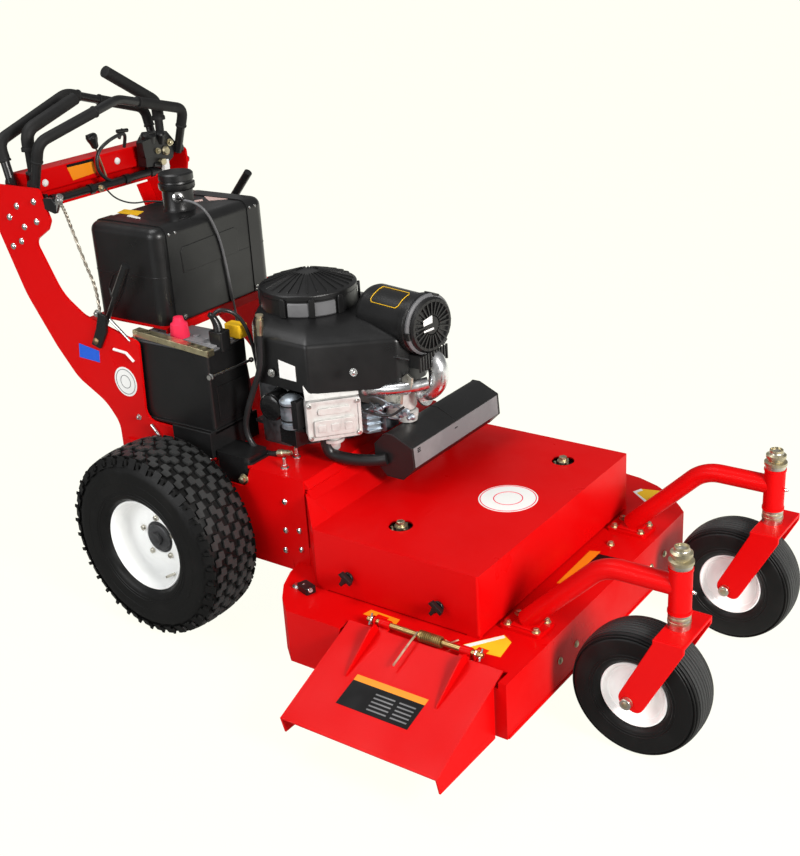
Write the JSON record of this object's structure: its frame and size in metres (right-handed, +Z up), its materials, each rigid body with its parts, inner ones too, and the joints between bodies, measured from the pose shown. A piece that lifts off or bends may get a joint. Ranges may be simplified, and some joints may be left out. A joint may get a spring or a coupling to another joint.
{
  "type": "walk-behind mower",
  "caption": "Walk-behind mower with an engine on a sheet frame, a side-discharge cutter deck, swivelling front casters and an upright handle with bail levers.",
  "frame": {"origin": "on the ground under the middle of the machine's bounding box", "axes": "+X forward, +Y to the machine's left, +Z up"},
  "size_m": [1.8574, 1.1585, 1.2183],
  "materials": {
    "red_paint": "gloss",
    "black_paint": "satin",
    "black_plastic": "satin",
    "battery_case": "satin",
    "engine_casting": "cast",
    "filter_paint": "gloss",
    "steel": "zinc plated",
    "axle_iron": "cast",
    "tyre": "matt",
    "white_paint": "gloss",
    "blade_steel": "ground",
    "grip_foam": "matt"
  },
  "bodies": {
    "chassis": {"air_cleaner": "black_plastic", "battery": "battery_case", "battery_box": "black_plastic", "belt_cover": "red_paint", "carburetor": "engine_casting", "caster_arm_left": "red_paint", "caster_arm_right": "red_paint", "chute_rod": "steel", "console": "red_paint", "controls": "black_paint", "crankcase": "engine_casting", "cylinder_left": "engine_casting", "cylinder_right": "engine_casting", "deck_shell": "red_paint", "drive_axle": "axle_iron", "engine_frame": "red_paint", "exhaust_pipe": "black_paint", "fan_screen": "black_plastic", "front_bail": "black_paint", "fuel_tank": "black_plastic", "grip_left": "grip_foam", "grip_right": "grip_foam", "handle_plate_left": "red_paint", "handle_plate_right": "red_paint", "muffler": "black_paint", "oil_filter": "filter_paint", "pump_covers": "black_paint", "rear_bail": "black_paint", "shroud": "black_plastic", "side_levers": "black_paint", "starter": "engine_casting", "tank_cap": "black_plastic", "tank_shelf": "red_paint", "tank_straps": "black_paint"},
    "rear_wheel_right": {"rear_tire_right": "tyre", "rear_rim_right": "white_paint"},
    "caster_swivel_right": {"caster_fork_right": "red_paint", "caster_stem_right": "steel", "caster_axle_right": "steel"},
    "caster_wheel_right": {"caster_tire_right": "tyre", "caster_rim_right": "white_paint"},
    "cutter_right": {"blade_right": "blade_steel"},
    "rear_wheel_left": {"rear_tire_left": "tyre", "rear_rim_left": "white_paint"},
    "caster_swivel_left": {"caster_fork_left": "red_paint", "caster_stem_left": "steel", "caster_axle_left": "steel"},
    "caster_wheel_left": {"caster_tire_left": "tyre", "caster_rim_left": "white_paint"},
    "cutter_left": {"blade_left": "blade_steel"},
    "discharge_flap": {"chute_flap": "red_paint"}
  },
  "joints": [
    {"name": "rear_wheel_right_roll", "type": "hinge", "parent": "chassis", "child": "rear_wheel_right", "pos_m": [-0.3593, -0.29755, 0.2286], "axis": [0, 1, 0], "continuous": true},
    {"name": "caster_right_swivel", "type": "hinge", "parent": "chassis", "child": "caster_swivel_right", "pos_m": [0.8647, -0.16985, 0.324], "axis": [0, 0, 1], "continuous": true},
    {"name": "caster_right_roll", "type": "hinge", "parent": "caster_swivel_right", "child": "caster_wheel_right", "pos_m": [0.7927, -0.16985, 0.136], "axis": [0, 1, 0], "continuous": true},
    {"name": "cutter_right_spin", "type": "hinge", "parent": "chassis", "child": "cutter_right", "pos_m": [0.2207, -0.15355, 0.092], "axis": [0, 0, 1], "continuous": true},
    {"name": "rear_wheel_left_roll", "type": "hinge", "parent": "chassis", "child": "rear_wheel_left", "pos_m": [-0.3593, 0.44045, 0.2286], "axis": [0, 1, 0], "continuous": true},
    {"name": "caster_left_swivel", "type": "hinge", "parent": "chassis", "child": "caster_swivel_left", "pos_m": [0.8647, 0.31275, 0.324], "axis": [0, 0, 1], "continuous": true},
    {"name": "caster_left_roll", "type": "hinge", "parent": "caster_swivel_left", "child": "caster_wheel_left", "pos_m": [0.7927, 0.31275, 0.136], "axis": [0, 1, 0], "continuous": true},
    {"name": "cutter_left_spin", "type": "hinge", "parent": "chassis", "child": "cutter_left", "pos_m": [0.3667, 0.29945, 0.092], "axis": [0, 0, 1], "continuous": true},
    {"name": "discharge_flap_lift", "type": "hinge", "parent": "chassis", "child": "discharge_flap", "pos_m": [0.3977, -0.32855, 0.206], "axis": [-1, 0, 0], "range_deg": [0, 100]}
  ]
}
